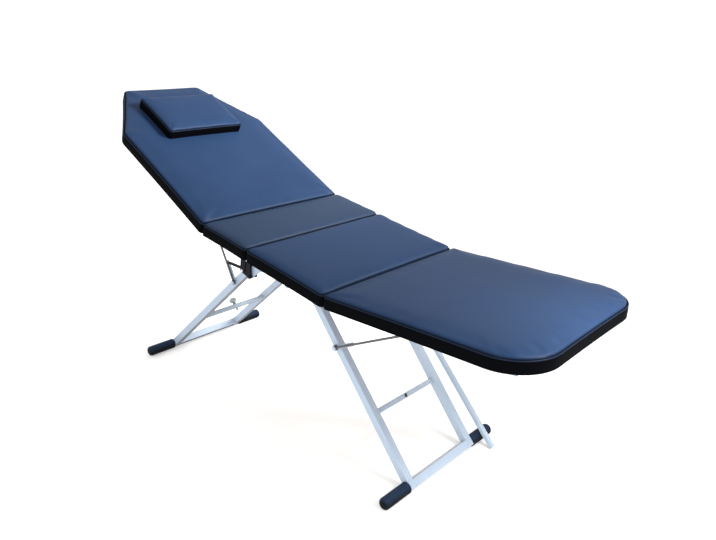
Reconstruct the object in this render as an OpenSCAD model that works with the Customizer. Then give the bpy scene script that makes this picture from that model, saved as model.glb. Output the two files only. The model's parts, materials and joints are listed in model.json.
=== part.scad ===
// Folding massage table: four padded panels on a tube frame that folds in half under the seat, with
// both leg frames, their wire struts and a prop lying flat between the halves. Millimetres, +Z up,
// head end towards -X, origin on the floor under the middle of the table.

/* [Panels] */
// Width of the padded panels
panel_w = 590; // [540:5:640]
// Length of the backrest panel
back_l = 726; // [690:1:760]
// Length of the rear seat panel
rear_l = 206; // [190:1:240]
// Length of the front seat panel
front_l = 317; // [300:1:345]
// Length of the foot panel
foot_l = 612; // [590:1:660]
// Length of the taper at the head end
taper_l = 250; // [180:1:280]
// Width of the head end between the tapers
head_w = 308; // [240:2:360]
// Corner radius of the head end
head_r = 30; // [15:1:50]
// Corner radius of the foot end
foot_r = 120; // [80:1:150]
// Corner radius of the panels at the seams
corner_r = 14; // [8:1:25]
// Foam and cover, from the board to the crown
cushion_t = 33; // [26:1:40]
// Rise of the crown above the panel's edge
crown = 4; // [2:0.5:8]
// Radius of the rolled top edge
edge_roll = 7; // [4:0.5:10]
// How far the sides draw in between the corners
side_draw = 2; // [0.5:0.5:4]
// Thickness of the plywood boards
board_t = 12; // [9:1:15]
// Step from the cover in to the board's edge
board_in = 3; // [2:0.5:4]
// Gap between neighbouring panels
seam_gap = 0.6; // [0.6:0.1:2]

/* [Pillow] */
// Width of the pillow
pillow_w = 305; // [260:1:340]
// Length of the pillow
pillow_l = 197; // [160:1:220]
// Thickness of the pillow at its crown
pillow_t = 45; // [30:1:60]
// Distance from the seam up to the pillow
pillow_up = 404; // [340:1:430]
// Shift of the pillow to the near side
pillow_shift = 15; // [0:1:30]

/* [Stance] */
// Height of the seam between the seat panels
seam_h = 616; // [600:1:640]
// Slope of the seat down to the foot end
seat_slope = 6.8; // [4:0.1:8]
// Raise of the backrest above the line of the seat
back_raise = 18.7; // [16:0.1:20]
// Raise of the foot panel above the line of the seat
foot_raise = 10.5; // [8:0.1:11]
// Distance of the head floor bar from the seam
head_bar_x = 613.5; // [600:0.5:620]
// Distance of the foot floor bar from the seam
foot_bar_x = 549.4; // [540:0.1:565]

/* [Frame rails] */
// Width of the square rails under the boards
rail_w = 20; // [18:1:22]
// Wall of the rails
rail_wall = 1.5; // [1:0.1:2.5]
// Radius of the square tubes' corners
tube_r = 2; // [1.5:0.25:2.5]
// Distance of the side rails' centre line from the middle
rail_y = 235; // [225:1:240]
// Gap between a rail's end and the hinge axis
rail_set = 10; // [9:0.5:14]
// Thickness of hangers, leaves and cheeks
plate_t = 4; // [3:0.5:5]

/* [Leg frames] */
// Width of the square leg tubes
leg_w = 25; // [20:0.5:27]
// Wall of the leg tubes
leg_wall = 1.5; // [1:0.1:2.5]
// Distance of the legs' outer faces from the middle
leg_out = 158.6; // [150:0.2:165]
// Gap between the rails and a folded leg
leg_gap = 11.5; // [9:0.5:14]
// Gap from a folded leg to the fold plane
fold_gap = 1.5; // [1:0.1:3]
// Distance of the head legs' axle from the seam
head_pivot = 74.2; // [70:0.2:80]
// Distance of the foot legs' axle from the seam
foot_pivot = 113; // [108:1:118]
// Diameter of the leg axles
axle_d = 10; // [8:0.5:12]
// Diameter of the spacers on the axles
spacer_d = 16; // [14:0.5:20]
// Width of the square crossbars
bar_w = 15; // [12:0.5:18]
// Distance of both crossbars from the seam when folded
lock_reach = 558; // [550:1:566]
// Diameter of the round stubs under the rubber sleeves
stub_d = 24; // [20:0.5:25]
// Diameter of the rubber sleeves
sleeve_d = 36; // [36:0.5:38]
// Length of a rubber sleeve
sleeve_l = 106; // [80:1:120]
// Depth of the flat under each sleeve
rest_flat = 0.5; // [0.3:0.1:0.8]

/* [Struts and prop] */
// Diameter of the strut wire
wire_d = 7; // [6:0.5:8]
// Radius of the bends in the strut wire
wire_bend = 12; // [9:1:20]
// Distance down the head legs to their strut
head_strut_at = 192; // [188:1:196]
// Rise of the head strut above level
head_strut_rise = 59.5; // [58:0.1:61]
// Distance down the foot legs to their strut
foot_strut_at = 225; // [218:1:232]
// Rise of the foot strut above level
foot_strut_rise = 28.9; // [27:0.1:31]
// Diameter of the strut pins
pin_d = 6; // [5:0.5:7]
// Diameter of the bushes on the strut pins
bush_d = 10; // [9:0.5:12]
// Diameter of the eyes at the strut's ends
eye_d = 17; // [16:0.5:20]
// Length of the bushes' lugs, which guide the wire
lug_l = 70; // [60:1:80]
// Width of the lugs
lug_w = 12; // [10:0.5:14]
// Height of the notched racks
rack_h = 6; // [5:0.5:8]
// Width of the notched racks
rack_w = 12; // [8:1:18]
// Distance of the racks from the middle
rack_y = 70; // [50:1:100]
// Distance between notches
rack_pitch = 16; // [12:0.5:20]
// Number of notches in a rack
rack_n = 5; // [4:1:6]
// Width of the square prop tube
prop_w = 15; // [12:0.5:16]
// Slope of the prop down to the floor
prop_slope = 45; // [44.5:0.1:45.5]
// Distance of the prop from the middle
prop_y = 200; // [190:1:205]

/* [Fold hinge and locks] */
// Diameter of the fold pins
fold_pin_d = 7; // [6:0.5:8]
// Diameter of the hubs round the fold pins
hub_d = 13; // [12.5:0.5:16]
// Length of the fork brackets
bracket_l = 45; // [42:1:50]
// Gap between the cheeks of a fork bracket
fork_gap = 17; // [15:0.5:18]
// Width of the slot in the outer cheek
slot_w = 5; // [3:0.5:7]
// Thickness of the gusset that runs in the fork
gusset_t = 6; // [4:0.5:8]
// Length of the gusset along the front rail
gusset_l = 95; // [80:1:110]
// Length of the lever's handle
lever_l = 78; // [60:1:90]
// Width of the lever's handle
lever_w = 7; // [5:0.5:9]
// Droop of the lever's handle below the line of the seat
lever_droop = 8; // [5:0.5:9]
// Diameter of the rivets in the tilting hinges
rivet_d = 6; // [5:0.5:7]
// Length of the hinge leaves
leaf_l = 60; // [50:1:80]
// Diameter of the transport knob
knob_d = 28; // [22:1:30]
// Height of the transport knob
knob_h = 18; // [14:1:20]
// Diameter of the knob's stem
stem_d = 8; // [6:0.5:9]
// Diameter of the hole that takes the stem
lock_hole_d = 12; // [11:0.5:13]

/* [Hidden] */
$fn = 48;

// Running clearance round a pin, and the gap between pieces that pass each other
run = 0.05;
gap = 0.4;
// Overrun of a cut past the face that it opens
over = 1;

// Heights below the crown of the seat
panel_t = cushion_t + board_t;
rail_low = panel_t + rail_w;
hinge_drop = panel_t + rail_w / 2;
leg_drop = rail_low + leg_gap + leg_w / 2;
fold_drop = leg_drop + leg_w / 2 + fold_gap;
strut_drop = panel_t + rack_h + gap + wire_d / 2;

// Distances from the middle
rail_in = rail_y - rail_w / 2;
rail_out = rail_y + rail_w / 2;
leg_in = leg_out - leg_w;
lap_y = rail_out + plate_t + gap;
fork_y = rail_out + plate_t;
gusset_y = fork_y + (fork_gap - gusset_t) / 2;

// Points of the side view are [along, up]; the seat's own frame starts at the seam, x to the foot end
function turned(p, a) = [p[0] * cos(a) + p[1] * sin(a), p[1] * cos(a) - p[0] * sin(a)];
head_mitre = hinge_drop * tan(back_raise / 2);
foot_mitre = hinge_drop * tan(foot_raise / 2);
head_hinge = [-rear_l - head_mitre, -hinge_drop];
foot_hinge = [front_l + foot_mitre, -hinge_drop];
back_slope = seat_slope + back_raise;
foot_slope = seat_slope - foot_raise;
// The ends of the table: the board's lower corner at the head, the cushion's widest ring at the foot
wide_share = 0.15;
wide_up = (cushion_t - crown) * wide_share;
head_tip = turned(head_hinge, seat_slope)
    + turned([board_in - head_mitre - back_l, hinge_drop - panel_t], back_slope);
foot_tip = turned(foot_hinge, seat_slope)
    + turned([foot_mitre + foot_l, hinge_drop - cushion_t + wide_up], foot_slope);
seam = [-(head_tip[0] + foot_tip[0]) / 2, seam_h];
function in_side_view(p) = seam + turned(p, seat_slope);

// Leg frames: each runs from its axle to its floor bar
bar_h = sleeve_d / 2 - rest_flat;
head_axle = in_side_view([-head_pivot, -leg_drop]);
foot_axle = in_side_view([foot_pivot, -leg_drop]);
head_leg = [seam[0] - head_bar_x, bar_h] - head_axle;
foot_leg = [seam[0] + foot_bar_x, bar_h] - foot_axle;
head_leg_l = norm(head_leg);
foot_leg_l = norm(foot_leg);
head_leg_fall = atan2(-head_leg[1], -head_leg[0]);
foot_leg_fall = atan2(-foot_leg[1], foot_leg[0]);
leg_end = leg_w * 0.56;
bar_low = (leg_w - bar_w) / 2;

// Struts: each runs from its pin on the leg up to the rack under its panel
function below_top(p, hinge, slope) =
    hinge_drop - (p - in_side_view(hinge)) * [sin(slope), cos(slope)];
function strut_length(p, d, hinge, slope) =
    (below_top(p, hinge, slope) - strut_drop) / (d * [sin(slope), cos(slope)]);
function along_panel(p, hinge, slope) = (p - in_side_view(hinge)) * [cos(slope), -sin(slope)];
head_strut_pin = head_axle + head_leg * head_strut_at / head_leg_l;
foot_strut_pin = foot_axle + foot_leg * foot_strut_at / foot_leg_l;
head_strut_dir = [-cos(head_strut_rise), sin(head_strut_rise)];
foot_strut_dir = [cos(foot_strut_rise), sin(foot_strut_rise)];
head_strut_l = strut_length(head_strut_pin, head_strut_dir, head_hinge, back_slope);
foot_strut_l = strut_length(foot_strut_pin, foot_strut_dir, foot_hinge, foot_slope);
head_rack_x = along_panel(head_strut_pin + head_strut_dir * head_strut_l, head_hinge, back_slope);
foot_rack_x = along_panel(foot_strut_pin + foot_strut_dir * foot_strut_l, foot_hinge, foot_slope);
head_of_pin_t = plate_t * 0.75;
prop_l = (foot_axle[1] - prop_w / 2 * cos(prop_slope) - over) / sin(prop_slope);

// Places of the cross rails, as shares of the panel that they carry, from its hinge or seam
rear_cross_shares = [0.13, 0.85];
front_cross_shares = [0.08, 0.9];
back_cross_shares = [0.055, 0.58, 0.71];
foot_cross_shares = [0.06, 0.215, 0.885];

// Side view of the fold hinge: the lever's pin and the ends of its handle and nose
lever_pin_at = [-bracket_l * 0.76, -fold_drop * 0.935];
lever_end = lever_pin_at - turned([lever_l, 0], -lever_droop);
nose_way = ([0, -fold_drop] - lever_pin_at) / norm([0, -fold_drop] - lever_pin_at);
nose_tip = [0, -fold_drop] - nose_way * (hub_d + lever_w) / 2;
leaf_h = rail_w * 0.9;
knob_at = lock_reach - head_pivot;
hole_at = lock_reach - foot_pivot;

// Frames of the panels, the leg frames and their struts
module at_seat() translate([seam[0], 0, seam[1]]) rotate([0, seat_slope, 0]) children();
module at_backrest() at_seat() translate([head_hinge[0], 0, head_hinge[1]])
    rotate([0, back_raise, 0]) children();
module at_foot() at_seat() translate([foot_hinge[0], 0, foot_hinge[1]])
    rotate([0, -foot_raise, 0]) children();
module at_head_legs() translate([head_axle[0], 0, head_axle[1]]) mirror([1, 0, 0])
    rotate([0, head_leg_fall, 0]) children();
module at_foot_legs() translate([foot_axle[0], 0, foot_axle[1]])
    rotate([0, foot_leg_fall, 0]) children();
module at_head_strut() translate([head_strut_pin[0], 0, head_strut_pin[1]]) mirror([1, 0, 0])
    rotate([0, -head_strut_rise, 0]) children();
module at_foot_strut() translate([foot_strut_pin[0], 0, foot_strut_pin[1]])
    rotate([0, -foot_strut_rise, 0]) children();
module both_sides() for (side = [-1, 1]) scale_side(side) children();
module scale_side(side) mirror([0, side < 0 ? 1 : 0, 0]) children();

// Outline of a panel: rounded corners joined by sides that draw in, counterclockwise
corner_steps = 6;
side_steps = 5;
least_r = 3;
function unit(v) = v / norm(v);
function outward(p, q) = let (d = unit(q - p)) [d[1], -d[0]];
function corner(p, q, s, r, inset) =
    let (m = outward(p, q), n = outward(q, s), round = max(r - inset, least_r),
        c = q - (m + n) * (inset + round) / (1 + m * n),
        from = atan2(m[1], m[0]), sweep = acos(m * n))
    [for (i = [0:corner_steps]) let (a = from + sweep * i / corner_steps)
        c + round * [cos(a), sin(a)]];
function side_between(a, b, draw) =
    let (n = outward(a, b))
    [for (i = [1:side_steps - 1]) let (t = i / side_steps) a + (b - a) * t - n * draw * 4 * t * (1 - t)];
function outline(pts, radii, inset, draw) =
    let (k = len(pts),
        arcs = [for (i = [0:k - 1]) corner(pts[(i + k - 1) % k], pts[i], pts[(i + 1) % k], radii[i], inset)])
    [for (i = [0:k - 1]) each concat(arcs[i],
        side_between(arcs[i][corner_steps], arcs[(i + 1) % k][0], draw))];

// Rings of a cushion from the board up: [height, inset]. The side is drawn in at mid height, rolls
// over at the top edge and rises to the crown over the given reach
function cushion_rings(t, reach) =
    let (h = t - crown, tuck = side_draw / 2)
    concat([[0, tuck], [h * wide_share, 0], [h * wide_share * 3, side_draw]],
        [for (a = [0:30:90]) [h - edge_roll * (1 - sin(a)), edge_roll * (1 - cos(a))]],
        [for (a = [30:30:90]) [h + crown * sin(a), edge_roll + reach * a / 90]]);

// A padded panel on z = 0. Its seam end leans by lean per unit of height, and its far end stays upright
module padded(pts, radii, t, reach, lean, seam_x, far_x) {
    rings = [for (r = cushion_rings(t, reach)) [for (p = outline(pts, radii, r[1], side_draw))
        [p[0] + lean * r[0] * (p[0] - far_x) / (seam_x - far_x), p[1], r[0]]]];
    n = len(rings[0]);
    m = len(rings);
    mid = [(seam_x + far_x) / 2, 0];
    points = concat([for (r = rings) each r], [[mid[0], mid[1], 0], [mid[0], mid[1], t]]);
    sides = [for (j = [0:m - 2], i = [0:n - 1])
        let (a = j * n + i, b = j * n + (i + 1) % n) each [[a, a + n, b], [b, a + n, b + n]]];
    floor_fan = [for (i = [0:n - 1]) [m * n, i, (i + 1) % n]];
    crown_fan = [for (i = [0:n - 1]) [m * n + 1, (m - 1) * n + (i + 1) % n, (m - 1) * n + i]];
    polyhedron(points, concat(sides, floor_fan, crown_fan));
}
module board(pts, radii) linear_extrude(board_t) polygon(outline(pts, radii, board_in, 0));

// Outlines of the panels at the height of the board's top
board_up = hinge_drop - cushion_t;
half_seam = seam_gap / 2;
function oblong(x0, x1, w) = [[x0, -w / 2], [x1, -w / 2], [x1, w / 2], [x0, w / 2]];
rear_x = -rear_l - cushion_t * tan(back_raise / 2) + half_seam;
front_x = front_l + cushion_t * tan(foot_raise / 2) - half_seam;
back_x = -board_up * tan(back_raise / 2) - half_seam;
foot_x = board_up * tan(foot_raise / 2) + half_seam;
head_x = -head_mitre - back_l;
toe_x = foot_mitre + foot_l;
rear_pts = oblong(rear_x, -half_seam, panel_w);
front_pts = oblong(half_seam, front_x, panel_w);
foot_pts = oblong(foot_x, toe_x, panel_w);
back_pts = [[back_x, -panel_w / 2], [back_x, panel_w / 2], [head_x + taper_l, panel_w / 2],
    [head_x, head_w / 2], [head_x, -head_w / 2], [head_x + taper_l, -panel_w / 2]];
plain_radii = [corner_r, corner_r, corner_r, corner_r];
back_radii = [corner_r, corner_r, head_r * 2, head_r, head_r, head_r * 2];
foot_radii = [corner_r, foot_r, foot_r, corner_r];

// Square tubes with rounded corners along X and across Y, and round stock across Y
module round_square(w) {
    square([w, w - 2 * tube_r], center = true);
    square([w - 2 * tube_r, w], center = true);
    for (a = [0:90:270]) rotate(a) translate([w / 2 - tube_r, w / 2 - tube_r]) circle(r = tube_r);
}
module tube_section(w, wall) difference() {
    round_square(w);
    square(w - 2 * wall, center = true);
}
module along(x0, x1) translate([x0, 0, 0]) rotate([90, 0, 90]) linear_extrude(x1 - x0) children();
module tube_along(x0, x1, w, wall) along(x0, x1) tube_section(w, wall);
module tube_across(half, w, wall) translate([0, half, 0]) rotate([90, 0, 0])
    linear_extrude(2 * half) tube_section(w, wall);
module round_across(y0, y1, d) translate([0, y0, 0]) rotate([-90, 0, 0]) cylinder(h = y1 - y0, d = d);
module ring_across(y0, y1, d, bore) difference() {
    round_across(y0, y1, d);
    round_across(y0 - over, y1 + over, bore);
}
// A flat shape of the side view as a plate from y0, of thickness t, on the far side of the middle
module plate(y0, t) translate([0, y0 + t, 0]) rotate([90, 0, 0]) linear_extrude(t) children();
module strip(a, b, w) {
    way = b - a;
    translate(a) rotate(atan2(way[1], way[0])) translate([0, -w / 2]) square([norm(way), w]);
    translate(b) circle(d = w);
}

// Rails under a panel, with their ends set back from the hinge axis or the seam
module side_rails(x0, x1, z) both_sides() translate([0, rail_y, z]) tube_along(x0, x1, rail_w, rail_wall);
module cross_rails(places, z) for (x = places) translate([x, 0, z]) tube_across(rail_in, rail_w, rail_wall);

// Hanger plates on the rails' inner faces, with the bore of the leg axle
hanger_l = rail_w * 3;
hanger_d = axle_d * 2.4;
module leg_hangers(x) both_sides() translate([x, 0, 0]) plate(rail_in - plate_t, plate_t) difference() {
    union() {
        polygon([[-hanger_l / 2, -panel_t], [hanger_l / 2, -panel_t], [hanger_l / 2, -rail_low],
            [hanger_d / 2, -leg_drop], [-hanger_d / 2, -leg_drop], [-hanger_l / 2, -rail_low]]);
        translate([0, -leg_drop]) circle(d = hanger_d);
    }
    translate([0, -leg_drop]) circle(d = axle_d + 2 * run);
}
module leg_axle() round_across(-rail_in + run, rail_in - run, axle_d);
module axle_spacer(y0, y1) ring_across(y0 + gap, y1 - gap, spacer_d, axle_d + 2 * run);

// Hinge leaves of the tilting panels: the seat's leaf lies on the rail, the panel's leaf laps over it
module leaf_shape(run_x, h) {
    difference() {
        union() {
            circle(d = leaf_h);
            translate([min(0, run_x), -h / 2]) square([abs(run_x), h]);
        }
        circle(d = rivet_d + 2 * run);
    }
}
module seat_leaf(run_x) plate(rail_out, plate_t) leaf_shape(run_x, leaf_h);
module lap_leaf(run_x) {
    side = run_x > 0 ? 1 : -1;
    start = rail_set + plate_t;
    plate(lap_y, plate_t) leaf_shape(run_x, leaf_h);
    plate(rail_out, plate_t + gap) translate([side > 0 ? start : run_x, -leaf_h / 2])
        square([abs(run_x) - start, leaf_h]);
}
module rivet() {
    round_across(rail_out - plate_t, lap_y + plate_t + head_of_pin_t, rivet_d);
    round_across(rail_out - plate_t, rail_out - gap, rivet_d * 1.6);
    round_across(lap_y + plate_t + gap / 2, lap_y + plate_t + head_of_pin_t, rivet_d * 1.8);
}

// Parts of a leg frame, in its own frame: x down the leg from the axle, z away from the floor
module leg(l, strut_at) difference() {
    tube_along(-leg_end, l - leg_w / 2, leg_w, leg_wall);
    round_across(-leg_w, leg_w, axle_d + 2 * run);
    translate([strut_at, 0, 0]) round_across(-leg_w, leg_w, pin_d + 2 * run);
}
module floor_bar(l) translate([l, 0, 0]) {
    tube_across(leg_out, leg_w, leg_wall);
    both_sides() round_across(leg_out - stub_d / 2, leg_out + sleeve_l - plate_t, stub_d);
}
module crossbar(at, hole) translate([at, 0, -bar_low]) difference() {
    tube_across(leg_in, bar_w, leg_wall);
    translate([0, 0, -bar_w]) cylinder(h = 2 * bar_w, d = hole);
}
module leg_plugs() both_sides() translate([-leg_end, leg_out - leg_w / 2, 0]) {
    along(-leg_wall, 0) round_square(leg_w);
    along(0, leg_end - axle_d) square(leg_w - 2 * leg_wall - 2 * run, center = true);
}

// A rubber sleeve over its stub: ribbed round its length, domed at its end
rib_n = 14;
rib_depth = rest_flat * 0.8;
module sleeve() {
    r = sleeve_d / 2;
    step = (sleeve_l - r) / rib_n;
    ribs = [for (i = [0:rib_n - 1], j = [0:3])
        [r - (j == 1 || j == 2 ? rib_depth : 0), gap + (i + [0, 0.15, 0.35, 0.5][j]) * step]];
    dome = [for (a = [0:15:90]) [r / 2 + r / 2 * cos(a), sleeve_l - r / 2 + r / 2 * sin(a)]];
    translate([0, leg_out, 0]) rotate([-90, 0, 0]) difference() {
        rotate_extrude() polygon(concat([[0, gap]], ribs, dome, [[0, sleeve_l]]));
        cylinder(h = sleeve_l - plate_t + run, d = stub_d + 2 * run);
    }
}
module floor_sleeves(bar_x) difference() {
    translate([bar_x, 0, bar_h]) both_sides() sleeve();
    translate([bar_x - sleeve_d, -panel_w / 2, -sleeve_d]) cube([2 * sleeve_d, panel_w, sleeve_d]);
}

// A strut outside the legs: on each side a pin, a bush with a lug that lies beside the wire, and the
// wire's eye on the bush. Both wire arms join a crosspiece in true bends
lug_y = leg_out + gap;
strut_y = lug_y + plate_t + gap + wire_d / 2;
eye_t = wire_d;
bush_end = strut_y + eye_t / 2 + gap;
module strut_pins(at) both_sides() translate([at, 0, 0]) {
    round_across(leg_in - head_of_pin_t, bush_end + gap + head_of_pin_t, pin_d);
    round_across(leg_in - head_of_pin_t, leg_in, pin_d * 1.8);
    round_across(bush_end + gap, bush_end + gap + head_of_pin_t, bush_d + wire_d / 2);
}
module strut_bushes() both_sides() difference() {
    union() {
        round_across(lug_y, bush_end, bush_d);
        plate(lug_y, plate_t) {
            circle(d = eye_d);
            strip([0, 0], [lug_l, 0], lug_w);
        }
    }
    round_across(lug_y - over, bush_end + over, pin_d + 2 * run);
}
module strut(l) {
    both_sides() {
        ring_across(strut_y - eye_t / 2, strut_y + eye_t / 2, eye_d, bush_d + 2 * run);
        translate([(eye_d + bush_d) / 4, strut_y, 0]) rotate([0, 90, 0])
            cylinder(h = l - wire_bend - (eye_d + bush_d) / 4, d = wire_d);
        translate([l - wire_bend, strut_y - wire_bend, 0]) rotate_extrude(angle = 90)
            translate([wire_bend, 0]) circle(d = wire_d);
    }
    translate([l, 0, 0]) round_across(wire_bend - strut_y, strut_y - wire_bend, wire_d);
}

// Notched racks under a panel: the rest notch stands over the strut, the others lead to the given side
module racks(x, way) both_sides() plate(rack_y - rack_w / 2, rack_w)
    translate([x, hinge_drop - panel_t]) difference() {
        length = rack_pitch * (rack_n + 1);
        translate([way > 0 ? -rack_pitch : rack_pitch - length, -rack_h]) square([length, rack_h]);
        for (i = [0:rack_n - 1]) translate([way * i * rack_pitch, -rack_h]) circle(d = wire_d + 2 * gap);
    }

// Colours of the finishes
navy = "#3a4a6e";
edge_black = "#202127";
wood = "#b08a5c";
pale_steel = "#d3dae3";
zinc = "#b9bec4";
black_steel = "#1b1c20";
rubber_black = "#17181d";
knob_grey = "#dfe4e4";

// Rear seat, the half that the head legs hang from
module rear_seat_cushion() color(navy) at_seat() translate([0, 0, -cushion_t])
    padded(rear_pts, plain_radii, cushion_t, rear_l * 0.36, tan(back_raise / 2), rear_x, -half_seam);
module rear_seat_board() color(wood) at_seat() translate([0, 0, -panel_t]) board(rear_pts, plain_radii);
module rear_side_rails() color(pale_steel) at_seat()
    side_rails(head_hinge[0] + rail_set, -half_seam, -hinge_drop);
module rear_cross_rails() color(pale_steel) at_seat()
    cross_rails([for (s = rear_cross_shares) -s * rear_l], -hinge_drop);
module head_leg_hangers() color(pale_steel) at_seat() leg_hangers(-head_pivot);
module head_leg_axle() color(zinc) translate([head_axle[0], 0, head_axle[1]]) leg_axle();
module head_axle_spacers() color(black_steel) translate([head_axle[0], 0, head_axle[1]])
    both_sides() axle_spacer(leg_out, rail_in - plate_t);

// Fork brackets of the fold hinge: two cheeks and a bridge, with a slot in the outer cheek
cheek_top = panel_t + plate_t;
cheek_low = fold_drop - fold_gap;
module cheek(pin_bore) difference() {
    union() {
        polygon([[-bracket_l - plate_t / 2, -cheek_top], [-hub_d / 2, -cheek_top], [hub_d / 2, -fold_drop],
            [0, -fold_drop - hub_d / 2], [-bracket_l, -cheek_low]]);
        translate([0, -fold_drop]) circle(d = hub_d);
    }
    translate([0, -fold_drop]) circle(d = pin_bore);
    translate(lever_pin_at) circle(d = rivet_d + 2 * run);
}
module fold_brackets() color(black_steel) at_seat() both_sides() {
    plate(rail_out, plate_t) cheek(fold_pin_d + 2 * run);
    plate(fork_y, fork_gap) translate([-bracket_l, -rail_low]) square([bracket_l * 0.6, rail_w - plate_t]);
    plate(fork_y + fork_gap, plate_t) difference() {
        cheek(fold_pin_d + 2 * run);
        translate([-bracket_l * 0.54, plate_t - cheek_low]) square([slot_w, cheek_low - plate_t - rail_low]);
    }
}
module bracket_screws() color(zinc) at_seat() both_sides()
    translate([-bracket_l * 0.32, fork_y + fork_gap + plate_t, -hinge_drop])
        round_across(0, head_of_pin_t, rivet_d * 1.4);
module fold_pins() color(zinc) at_seat() both_sides() translate([0, 0, -fold_drop]) {
    round_across(rail_out, fork_y + fork_gap + plate_t, fold_pin_d);
    round_across(fork_y + fork_gap + plate_t, fork_y + fork_gap + plate_t + head_of_pin_t, fold_pin_d * 1.5);
}
module lever_pin() color(zinc) at_seat() mirror([0, 1, 0])
    translate([lever_pin_at[0], 0, lever_pin_at[1]]) {
        round_across(rail_out, fork_y + fork_gap + plate_t, rivet_d);
        round_across(fork_y + fork_gap + plate_t, fork_y + fork_gap + plate_t + head_of_pin_t, rivet_d * 1.5);
    }
module fold_lever() color(black_steel) at_seat() mirror([0, 1, 0])
    plate(gusset_y, gusset_t) difference() {
        union() {
            translate(lever_pin_at) circle(d = rivet_d * 2.2);
            strip(lever_pin_at, lever_end, lever_w);
            polygon([lever_pin_at + [0, lever_w / 2], lever_pin_at - [0, lever_w / 2], nose_tip]);
        }
        translate(lever_pin_at) circle(d = rivet_d + 2 * run);
    }
module backrest_hinge_seat_leaves() color(pale_steel) at_seat() both_sides()
    translate([head_hinge[0], 0, head_hinge[1]]) seat_leaf(leaf_l);
module backrest_hinge_pins() color(zinc) at_seat() both_sides()
    translate([head_hinge[0], 0, head_hinge[1]]) rivet();

// Front seat, the half that the foot legs and the prop hang from
module front_seat_cushion() color(navy) at_seat() translate([0, 0, -cushion_t])
    padded(front_pts, plain_radii, cushion_t, front_l * 0.36, -tan(foot_raise / 2), front_x, half_seam);
module front_seat_board() color(wood) at_seat() translate([0, 0, -panel_t]) board(front_pts, plain_radii);
module front_side_rails() color(pale_steel) at_seat()
    side_rails(half_seam, foot_hinge[0] - rail_set, -hinge_drop);
module front_cross_rails() color(pale_steel) at_seat()
    cross_rails([for (s = front_cross_shares) s * front_l], -hinge_drop);
module foot_leg_hangers() color(pale_steel) at_seat() leg_hangers(foot_pivot);
module foot_leg_axle() color(zinc) translate([foot_axle[0], 0, foot_axle[1]]) leg_axle();
module foot_axle_spacers() color(black_steel) translate([foot_axle[0], 0, foot_axle[1]]) {
    scale_side(-1) axle_spacer(leg_out, rail_in - plate_t);
    axle_spacer(leg_out, prop_y - prop_w / 2);
    axle_spacer(prop_y + prop_w / 2, rail_in - plate_t);
}
module fold_gussets() color(pale_steel) at_seat() both_sides() {
    base = bracket_l / 2;
    plate(gusset_y, gusset_t) difference() {
        union() {
            polygon([[-hub_d / 2, -fold_drop], [0, -fold_drop - hub_d / 2], [base, -(fold_drop + rail_low) / 2],
                [gusset_l / 2, -rail_low], [gusset_l, -rail_low], [gusset_l, -cheek_top], [base, -cheek_top],
                [-hub_d / 4, -rail_low - gap]]);
            translate([0, -fold_drop]) circle(d = hub_d);
        }
        translate([0, -fold_drop]) circle(d = fold_pin_d + 2 * run);
    }
    plate(rail_out, gusset_y - rail_out) translate([base, -rail_low])
        square([gusset_l - base, rail_low - cheek_top]);
}
module foot_hinge_seat_leaves() color(pale_steel) at_seat() both_sides()
    translate([foot_hinge[0], 0, foot_hinge[1]]) plate(rail_out, plate_t) difference() {
        union() {
            polygon([[-leaf_l * 1.5, leaf_h / 2], [0, leaf_h / 2], [0, -leaf_h / 2], [-leaf_l / 4, -leaf_h * 0.8],
                [-leaf_l * 1.5, 0]]);
            circle(d = leaf_h);
        }
        circle(d = rivet_d + 2 * run);
    }
module foot_hinge_pins() color(zinc) at_seat() both_sides()
    translate([foot_hinge[0], 0, foot_hinge[1]]) rivet();

// Backrest
module backrest_cushion() color(navy) at_backrest() translate([0, 0, board_up])
    padded(back_pts, back_radii, cushion_t, head_w * 0.36, -tan(back_raise / 2), back_x, head_x);
module backrest_board() color(wood) at_backrest() translate([0, 0, board_up - board_t])
    board(back_pts, back_radii);
module backrest_side_rails() color(pale_steel) at_backrest()
    side_rails(-back_cross_shares[2] * back_l - rail_w / 2, -rail_set, 0);
module backrest_cross_rails() color(pale_steel) at_backrest()
    cross_rails([for (s = back_cross_shares) -s * back_l], 0);
module backrest_hinge_leaves() color(black_steel) at_backrest() both_sides() lap_leaf(-leaf_l);
module backrest_racks() color(black_steel) at_backrest() racks(head_rack_x, -1);
module pillow() color(navy) at_backrest()
    translate([-head_mitre - pillow_up, -pillow_shift, hinge_drop + gap])
        padded(oblong(-pillow_l, 0, pillow_w), plain_radii * 0.7, pillow_t, pillow_l * 0.36, 0, 0, -pillow_l);

// Foot panel
module foot_cushion() color(navy) at_foot() translate([0, 0, board_up])
    padded(foot_pts, foot_radii, cushion_t, foot_r, tan(foot_raise / 2), foot_x, toe_x);
module foot_board() color(wood) at_foot() translate([0, 0, board_up - board_t]) board(foot_pts, foot_radii);
module foot_side_rails() color(pale_steel) at_foot()
    side_rails(rail_set, foot_cross_shares[2] * foot_l + rail_w / 2, 0);
module foot_cross_rails() color(pale_steel) at_foot()
    cross_rails([for (s = foot_cross_shares) s * foot_l], 0);
module foot_hinge_leaves() color(black_steel) at_foot() both_sides() lap_leaf(leaf_l);
module foot_racks() color(black_steel) at_foot() racks(foot_rack_x, 1);

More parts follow.
